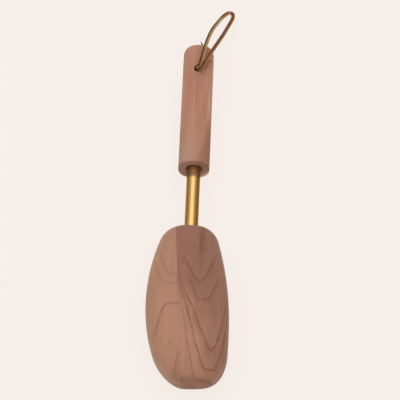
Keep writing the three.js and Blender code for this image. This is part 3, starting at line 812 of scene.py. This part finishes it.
def lateral_cedar():
    # Red cedar, the outer board: flat-sawn and sanded, so that its rings show as a few wide arcs, bowed as
    # the trunk was. Its outer shoulder is painted paler: painted light where that side catches the lamp.
    made, tree, shader = material("flat_sawn_cedar")
    place = millimetres(tree)
    at = wavering(tree, place, size=25, amount=0.5)
    along = add(tree, "Math ADD", add(tree, "SeparateXYZ", at).outputs["Y"], -LATERAL_BOW_Y)
    radius = pith_distance(tree, at, LATERAL_PITH)
    rings = bowed_rings(tree, radius, along, LATERAL_BOW, LATERAL_RINGS, start=0.7, dark=0.5)
    line = board_figure(tree, place, LATERAL_NESTS, LATERAL_STREAKS, rings, outwards=-1)
    lean = add(tree, "Math MULTIPLY", along, LATERAL_LEAN_Y)
    x, y, _ = add(tree, "SeparateXYZ", place).outputs
    # Painted light: paler towards the outer shoulder
    outer = add(tree, "MapRange", x, {"From Min": SHOULDER_LIT_X, "From Max": SHOULDER_FULL_X,
                                      "To Max": SHOULDER_LIT})
    shoulder = add(tree, "MapRange SMOOTHSTEP", y, {"From Min": SHOULDER_LIT_Y,
                                                    "From Max": SHOULDER_FULL_Y})
    pale = add(tree, "Math MULTIPLY", outer, shoulder)
    tones = ("#a87e66", "#ac7d64", "#b3836a")
    cedar_finish(tree, shader, place, line, tones, "#835340", "#95705c", lean, pale)
    return made


def medial_cedar():
    # Red cedar, the inner board: sawn on the slant through its rings and sanded, so that they show as nested
    # arches to the toe. It is darker heartwood, palest towards the glue joint and the toe, where the arches'
    # arms crowd.
    made, tree, shader = material("arched_cedar")
    place = millimetres(tree)
    x, y, _ = add(tree, "SeparateXYZ", place).outputs
    along = add(tree, "Math ADD", y, -MEDIAL_BOW_Y)
    radius = pith_distance(tree, wavering(tree, place, size=30, amount=0.8), MEDIAL_PITH)
    rings = bowed_rings(tree, radius, along, MEDIAL_BOW, MEDIAL_RINGS, start=0.75, dark=0.6)
    line = board_figure(tree, place, MEDIAL_NESTS, MEDIAL_STREAKS, rings, outwards=1)
    lean = add(tree, "Math MULTIPLY_ADD", x, MEDIAL_LEAN_X, MEDIAL_LEAN)
    lean = add(tree, "Math MULTIPLY_ADD", along, MEDIAL_LEAN_Y, lean)
    upper = add(tree, "MapRange SMOOTHSTEP", y, {"From Min": UPPER_START_Y, "From Max": UPPER_FULL_Y,
                                                 "To Max": UPPER_LEAN})
    inner = add(tree, "MapRange", x, {"From Min": UPPER_FULL_X, "From Max": UPPER_END_X, **FALLING})
    by_glue = add(tree, "MapRange", x, {"From Min": BY_GLUE_X, "From Max": BY_GLUE_END_X,
                                        "To Min": BY_GLUE_SHARE, "To Max": 0})
    inner = add(tree, "Math ADD", inner, by_glue)
    lean = add(tree, "Math MULTIPLY_ADD", upper, inner, lean)
    tones = ("#916551", "#a1735b", "#b08067")
    cedar_finish(tree, shader, place, line, tones, "#6c3d2c", "#8a6049", lean)
    return made


lateral_board, medial_board = cedar_boards()
dress(lateral_board, lateral_cedar(), "block", "cedar_light", "block_lateral_board")
dress(medial_board, medial_cedar(), "block", "cedar_dark", "block_medial_board")


# Brass tube and the steel in and about it

SHADED_FROM_Y, SHADED_FADE = 28, 4  # millimetres; from here into the handle the tube is painted dull and brown: painted shade and reflection of the handle's dark end
DRAWN_LINE_SIZE = (0.35, 30)  # millimetres across and along the draw, coarser than real, so that they show
TARNISH_PER_MM, STEEL_SPOTS_PER_MM = 0.06, 0.8


def drawn_brass():
    # Drawn brass tube, polished along its length and lacquered: yellow metal with faint lines along Y that
    # stretch its highlight, under the lacquer's whiter gloss. Close to the handle it is painted browner,
    # with
    # rougher metal and less lacquer: painted shade and reflection of the handle's dark end.
    made, tree, shader = material("drawn_brass")
    place = millimetres(tree)
    lines = lengthwise(tree, place, *DRAWN_LINE_SIZE, Detail=3)
    tarnish = add(tree, "TexNoise", place, {"Scale": TARNISH_PER_MM, "Detail": 3})
    bright = add(tree, "ValToRGB", tarnish, stops=[(0.35, "#c59b4a"), (0.65, "#cfa559")])
    along = add(tree, "SeparateXYZ", place).outputs["Y"]
    mouth_shade = add(tree, "MapRange SMOOTHSTEP", along, {"From Min": SHADED_FROM_Y, "From Max": SHADED_FROM_Y + SHADED_FADE,
                                                     "To Max": 0.85})
    # Painted shade: browned close under the handle, where its end shades the tube and shows in it
    colour = add(tree, "MixRGB", mouth_shade, bright, linear("#806038"))
    lacquer = add(tree, "Math SUBTRACT", 1, mouth_shade)
    rough = add(tree, "MapRange", lines, {**NOISE_RANGE, "To Min": 0.25, "To Max": 0.36})
    rough = add(tree, "Math MULTIPLY_ADD", mouth_shade, 0.4, rough)
    bump = add(tree, "Bump", {"Height": lines, "Strength": 0.15, "Distance": 0.05 * MM})
    feed(shader, {"Base Color": colour, "Metallic": 1, "Roughness": rough, "Normal": bump})
    feed(shader, {"Coat Weight": lacquer, "Coat Roughness": 0.2, "Coat IOR": 1.8})
    return made


def bright_steel():
    # Bright drawn steel wire and rod, lightly oiled: grey metal, a little dull in small spots.
    made, tree, shader = material("bright_steel")
    spots = add(tree, "TexNoise", millimetres(tree), {"Scale": STEEL_SPOTS_PER_MM, "Detail": 4})
    colour = add(tree, "ValToRGB", spots, stops=[(0.35, "#a5a29c"), (0.65, "#bdbab4")])
    rough = add(tree, "MapRange", spots, {**NOISE_RANGE, "To Min": 0.25, "To Max": 0.42})
    feed(shader, {"Base Color": colour, "Metallic": 1, "Roughness": rough})
    return made


def brass_tube():
    ends = [(tube_low.y, TUBE_RADIUS - TUBE_EDGE), (tube_low.y + TUBE_EDGE, TUBE_RADIUS),
            (tube_high.y - TUBE_EDGE, TUBE_RADIUS), (tube_high.y, TUBE_RADIUS - TUBE_EDGE)]
    tube = turned("brass_tube", ends, corner_steps=16)
    inner = TUBE_RADIUS - TUBE_WALL
    inside_ends = [(tube_low.y - REACH_PAST, inner), (tube_high.y + REACH_PAST, inner)]
    carve(tube, turned("inside", inside_ends, corner_steps=16))
    # The slot: a round cutter across the tube, one half of it drawn out by the handle's travel
    slot_half = BRAD_SHANK + CLEARANCE
    slot = turned("slot", [(-2 * TUBE_RADIUS, slot_half), (2 * TUBE_RADIUS, slot_half)], corner_steps=6)
    settle(slot, (0, 0, 0), (0, 0, math.pi / 2))
    bpy.ops.object.mode_set(mode="EDIT")
    shape = bmesh.from_edit_mesh(slot.data)
    for v in shape.verts:
        v.select = v.co.y < -TOUCHING
    shape.select_flush(True)
    bpy.ops.transform.translate(value=(0, -TRAVEL, 0))
    bpy.ops.object.mode_set(mode="OBJECT")
    carve(tube, settle(slot, (0, GRIP_BRAD_Y, 0)))
    return smooth(settle(tube, (0, 0, AXIS_Z)))


def brad(name, length, seat, crown_steps=6):
    """A headed brad, in its seat."""
    crown = [(BRAD_CROWN * (1 - math.cos(a)), BRAD_CROWN + (BRAD_HEAD - BRAD_CROWN) * math.sin(a))
             for a in quarter(crown_steps)]
    neck = [(BRAD_HEAD_HEIGHT - BRAD_NECK, BRAD_HEAD), (BRAD_HEAD_HEIGHT, BRAD_SHANK)]
    point = [(length - BRAD_POINT, BRAD_SHANK), (length, BRAD_TIP)]
    return smooth(settle(turned(name, [*crown, *neck, *point]), *seat))


def spring_plug():
    inner, shoulder = TUBE_RADIUS - TUBE_WALL - CLEARANCE, tube_high.y + CLEARANCE
    stem = [(seat_low.y, inner - SEAT_EDGE), (seat_low.y + SEAT_EDGE, inner), (shoulder, inner)]
    head = [(shoulder, TUBE_RADIUS - SEAT_EDGE), (shoulder + SEAT_EDGE, TUBE_RADIUS),
            (seat_high.y - SEAT_EDGE, TUBE_RADIUS), (seat_high.y, TUBE_RADIUS - SEAT_EDGE)]
    return smooth(settle(turned("spring_plug", stem + head), (0, 0, AXIS_Z)))


def coil_spring(steps_per_turn=28):
    """A helix whose end turns lie close."""
    radius = (spring_high.x - spring_low.x - SPRING_WIRE) / 2
    first, last = spring_low.y + SPRING_WIRE / 2, spring_high.y - SPRING_WIRE / 2
    open_turns = SPRING_TURNS - 2 * SPRING_DEAD_TURNS
    open_rise = (last - first - 2 * SPRING_DEAD_TURNS * DEAD_TURN_RISE) / open_turns
    line, y = [], first
    for k in range(SPRING_TURNS * steps_per_turn + 1):
        turn = k / steps_per_turn
        angle = 2 * math.pi * turn
        line.append(Vector((radius * math.cos(angle), y, AXIS_Z + radius * math.sin(angle))))
        dead = turn < SPRING_DEAD_TURNS or turn >= SPRING_TURNS - SPRING_DEAD_TURNS
        y += (DEAD_TURN_RISE if dead else open_rise) / steps_per_turn
    outward = [Vector((p.x, 0, p.z - AXIS_Z)) for p in line]
    return sweep("coil_spring", line, outward, rounded_strip(SPRING_WIRE, SPRING_WIRE, power=2, sides=12))


tube = brass_tube()
sole_brad = brad("sole_brad", sole_brad_high.z - sole_brad_low.z, SOLE_BRAD_SEAT)
grip_brad = brad("grip_brad", grip_brad_high.x - grip_brad_low.x, GRIP_BRAD_SEAT)
plug = spring_plug()
spring = coil_spring()
steel = bright_steel()
dress(tube, drawn_brass(), "block", "brass", "slide_tube")
dress(sole_brad, steel, "block", "steel", "block_brad")
dress(grip_brad, steel, "handle", "steel", "guide_brad")
dress(plug, steel, "block", "steel", "spring_seat")
dress(spring, steel, "handle", "steel", "spring")
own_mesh(spring)


# Handle


def cedar_grip(foot_steps=4, straight_steps=16, dome_steps=16, rim_steps=5):
    def even(y, half):
        return (y, half, half, half, half)

    stations = [even(grip_low.y + FOOT_EDGE * (1 - math.cos(a)), GRIP_HALF - FOOT_EDGE * (1 - math.sin(a)))
                for a in quarter(foot_steps)]
    straight_start, dome_start = stations[-1][0], grip_high.y - DOME_HEIGHT
    straight = dome_start - straight_start
    stations += [even(straight_start + straight * k / straight_steps, GRIP_HALF)
                 for k in range(1, straight_steps)]
    stations += [even(dome_start + DOME_HEIGHT * math.sin(a), GRIP_HALF * math.cos(a))
                 for a in quarter(dome_steps)[:-1]]
    stations.append(even(grip_high.y, DOME_TOP))
    grip = settle(loft("cedar_grip", GRIP_SECTION_POWER, stations, corner_steps=14), (0, 0, AXIS_Z))
    mouth = BORE_RADIUS + MOUTH_CHAMFER
    bore_ends = [(grip_low.y - REACH_PAST, mouth + REACH_PAST), (grip_low.y + MOUTH_CHAMFER, BORE_RADIUS),
                 (BORE_END_Y, BORE_RADIUS)]
    bore = turned("bore", bore_ends, corner_steps=14)
    rim = [(GRIP_HALF - LACE_HOLE_RIM * (1 - math.sin(a)),
            LACE_HOLE_RADIUS + LACE_HOLE_RIM * (1 - math.cos(a))) for a in quarter(rim_steps)]
    half = [*rim, (GRIP_HALF + REACH_PAST, rim[-1][1])]
    hole = turned("lace_hole", [(-y, radius) for y, radius in reversed(half)] + half, corner_steps=8)
    carve(grip, settle(bore, (0, 0, AXIS_Z)), settle(hole, (0, HOLE_Y, AXIS_Z), (math.pi / 2, 0, 0)),
          settle(brad_hole(), *GRIP_BRAD_SEAT))
    return smooth(grip)


# Figure of the handle, in millimetres: the trunk's middle (x, z) and the width of its rings
GRIP_PITH, GRIP_RING = (-45, 65), 2.6
GRIP_FRONT_START, GRIP_FRONT_FULL = 22, 30  # heights between which the front's own figure sets in
# Painted shade: the front darkens from the right below a slanting edge, where the handle's side turns from
# the light
SHADE_EDGE, SHADE_EDGE_SLOPE, SHADE_EDGE_WIDTH = (14, 98), 4, 7
# A pale streak runs down the right side and then slants in
PALE_X, PALE_WIDTH, PALE_START_Y, PALE_BEND_Y, PALE_END_Y, PALE_SLANT = 11.8, 1.5, 126, 93, 76, 0.31
PALE_START_FADE, PALE_END_FADE = 18, 6
PALE_CORE, PALE_RIM, PALE_STRENGTH = 0.3, 1.5, 0.6  # shares of its width where it begins to fade and is gone
# Low on its left the wood is greyer, but not on the end face
GREYED_Y, GREYED_FADE_Y, GREYED_X, GREYED_FADE_X = 84, 34, 6, 9
END_FACE_TOP, END_FACE_FADE = 0.7, 1.5
GRIP_STREAKS = [((0.3, 144), (0, 78), 0.8, 0.35), ((1.8, 108), (1.6, 76), 0.6, 0.3),
                # Painted shadow of the lace's right strand, on the wood beside its hole
                ((6.2, 144), (11.4, 160), 3, 0.8)]
GRIP_PALE_STREAKS = [((-2.4, 136), (-2.6, 80), 1, 0.22), ((4, 122), (4, 97), 1, 0.2)]
SAPWOOD_FROM, SAPWOOD_FADE = -10, 4  # x less z: pale sapwood along the handle's back right edge


def shade_and_dark_figure(tree, place, x, y, front):
    """The handle's dark marks: fine rings all round and streaks on its front, with painted shade on the
    front's lower right and a painted shadow beside the lace's hole.
    """
    radius = pith_distance(tree, wavering(tree, place, size=14, amount=1.2), GRIP_PITH)
    ring = add(tree, "Math MULTIPLY", radius, 1 / GRIP_RING)
    share = add(tree, "Math FRACT", ring)
    line = add(tree, "MapRange SMOOTHSTEP", share, {"From Min": 0.5, "From Max": 1, "To Max": 0.12})
    # Painted shade on the front's lower right, below a slanting edge
    edge_x, edge_y = SHADE_EDGE
    across = add(tree, "Math MULTIPLY_ADD", x, SHADE_EDGE_SLOPE, edge_y - edge_x * SHADE_EDGE_SLOPE)
    inside = add(tree, "Math SUBTRACT", across, y)
    edge_run = SHADE_EDGE_WIDTH * SHADE_EDGE_SLOPE
    dark = add(tree, "MapRange SMOOTHSTEP", inside, {"From Max": edge_run, "To Max": 0.5})
    dark = add(tree, "Math MULTIPLY", dark, front)
    line = add(tree, "Math ADD", dark, line, use_clamp=True)
    # The grain's streaks, and the painted shadow of the lace beside its hole
    for mark in GRIP_STREAKS:
        drawn = add(tree, "Math MULTIPLY", streak(tree, x, y, *mark), front)
        line = add(tree, "Math MAXIMUM", drawn, line)
    return line


def pale_figure(tree, x, y, z, front):
    """The handle's pale sapwood: streaks on its front, and its back right edge."""
    below = add(tree, "Math SUBTRACT", PALE_BEND_Y, y)
    below = add(tree, "Math MAXIMUM", below, 0)
    aside = add(tree, "Math MULTIPLY_ADD", below, PALE_SLANT, x)
    aside = add(tree, "Math SUBTRACT", aside, PALE_X)
    aside = add(tree, "Math ABSOLUTE", aside)
    pale = add(tree, "MapRange SMOOTHSTEP", aside, {"From Min": PALE_CORE * PALE_WIDTH,
                                                    "From Max": PALE_RIM * PALE_WIDTH,
                                                    "To Min": PALE_STRENGTH, "To Max": 0})
    above_end = add(tree, "MapRange", y, {"From Min": PALE_END_Y, "From Max": PALE_BEND_Y + PALE_END_FADE})
    pale = add(tree, "Math MULTIPLY", pale, above_end)
    below_start = add(tree, "MapRange", y, {"From Min": PALE_START_Y,
                                            "From Max": PALE_START_Y - PALE_START_FADE})
    pale = add(tree, "Math MULTIPLY", pale, below_start)
    for mark in GRIP_PALE_STREAKS:
        pale = add(tree, "Math MAXIMUM", streak(tree, x, y, *mark), pale)
    pale = add(tree, "Math MULTIPLY", pale, front)
    to_bark = add(tree, "Math SUBTRACT", x, z)
    bark_side = add(tree, "MapRange SMOOTHSTEP", to_bark, {"From Min": SAPWOOD_FROM,
                                                           "From Max": SAPWOOD_FROM + SAPWOOD_FADE})
    return add(tree, "Math MAXIMUM", pale, bark_side)


def greyed_figure(tree, x, y):
    """Where the handle is greyer, low on its left."""
    low = add(tree, "MapRange SMOOTHSTEP", y, {"From Min": GREYED_Y, "From Max": GREYED_Y - GREYED_FADE_Y,
                                               "To Max": 0.3})
    leftwards = add(tree, "MapRange", x, {"From Min": GREYED_X, "From Max": GREYED_X - GREYED_FADE_X})
    greyed = add(tree, "Math MULTIPLY", low, leftwards)
    face_top = grip_low.y / MM + END_FACE_TOP
    off_end = add(tree, "MapRange", y, {"From Min": face_top, "From Max": face_top + END_FACE_FADE})
    return add(tree, "Math MULTIPLY", greyed, off_end)


def grip_cedar():
    # Red cedar, the handle: quarter-sawn, rounded and sanded, so that fine straight lines run along it, with
    # a streak of pale sapwood.
    made, tree, shader = material("straight_grained_cedar")
    place = millimetres(tree)
    x, y, z = add(tree, "SeparateXYZ", wavering(tree, place, size=9, amount=0.8)).outputs
    front = add(tree, "MapRange SMOOTHSTEP", z, {"From Min": GRIP_FRONT_START, "From Max": GRIP_FRONT_FULL})
    line = shade_and_dark_figure(tree, place, x, y, front)
    pale = pale_figure(tree, x, y, z, front)
    tones = ("#a7725b", "#b17b63", "#ba866e")
    greyed = greyed_figure(tree, x, y)
    cedar_finish(tree, shader, place, line, tones, "#84543d", "#9c7764", pale=pale, greyed=greyed)
    return made


grip = cedar_grip()
dress(grip, grip_cedar(), "handle", "cedar_handle", "handle")


# Floor, light and background

PALE = "#f7efe9"
FLOOR_SIZE = 8
FLOOR_DROP = 0.05 * MM  # below the sole, so that the two faces don't lie in one plane
FLOOR_GLOW = 0.92  # share of the floor that shows as it is, whatever falls on it
ROOM_LIGHT = 0.68
BOX_PLACE = Vector((-0.02, 0.12, 1.4))
BOX_WIDTH, BOX_LENGTH = 1.2, 1.7
BOX_POWER = 7.6
FLAG_HEIGHT = 0.05
FLAG_START_Y, FLAG_END_Y = -0.025, 0.095
FLAGS = [("flag_left", -0.027, "#dccb9c"), ("flag_right", 0.024, "#ccb074")]


def seen_rays(tree):
    """1 for the rays that show the background as it is: to the camera, in gloss and through glass."""
    rays = add(tree, "LightPath").outputs
    seen = add(tree, "Math MAXIMUM", rays["Is Camera Ray"], rays["Is Glossy Ray"])
    return add(tree, "Math MAXIMUM", seen, rays["Is Transmission Ray"])


def pale_floor():
    bpy.ops.object.select_all(action="DESELECT")
    bpy.ops.mesh.primitive_plane_add(size=FLOOR_SIZE, location=(0, 0, -FLOOR_DROP))
    floor = bpy.context.object
    floor.name = "studio_floor"
    made, tree, shader = material("pale_paper")
    floor.data.materials.append(made)
    feed(shader, {"Base Color": linear(PALE), "Roughness": 1})
    share = add(tree, "Math MULTIPLY", seen_rays(tree), FLOOR_GLOW)
    glow = add(tree, "Emission", linear(PALE), 1)
    surface = add(tree, "MixShader", share, shader, glow)
    add(tree, "OutputMaterial", surface, is_active_output=True)


def tinted_flags():
    """Two cards beside the tube, seen only in its gloss: they give the brass its darker edges."""
    for name, aside, tone in FLAGS:
        made, _, shader = material(name)
        feed(shader, {"Base Color": linear(tone), "Roughness": 1})
        bpy.ops.object.select_all(action="DESELECT")
        bpy.ops.mesh.primitive_plane_add(size=1)
        flag = bpy.context.object
        flag.name = name
        flag.scale = (FLAG_HEIGHT, FLAG_END_Y - FLAG_START_Y, 1)
        settle(flag, (aside, (FLAG_START_Y + FLAG_END_Y) / 2, FLAG_HEIGHT / 2), (0, math.pi / 2, 0))
        flag.data.materials.append(made)
        flag.visible_camera = flag.visible_diffuse = flag.visible_shadow = flag.visible_transmission = False


def studio_light():
    world = bpy.data.worlds.new("studio")
    bpy.context.scene.world = world
    world.use_nodes = True
    tree = world.node_tree
    room = add(tree, "Background", linear("#ffffff"), ROOM_LIGHT)
    backdrop = add(tree, "Background", linear(PALE), 1)
    surface = add(tree, "MixShader", seen_rays(tree), room, backdrop)
    add(tree, "OutputWorld", surface, is_active_output=True)
    bpy.ops.object.light_add(type="AREA", location=BOX_PLACE)
    box = bpy.context.object
    box.data.shape = "RECTANGLE"
    box.data.size, box.data.size_y = BOX_WIDTH, BOX_LENGTH
    box.data.energy = BOX_POWER
    box.rotation_euler = (Vector((0, 0, AXIS_Z)) - BOX_PLACE).to_track_quat("-Z", "Y").to_euler()


pale_floor()
tinted_flags()
studio_light()
bpy.context.scene.view_settings.view_transform = "Standard"
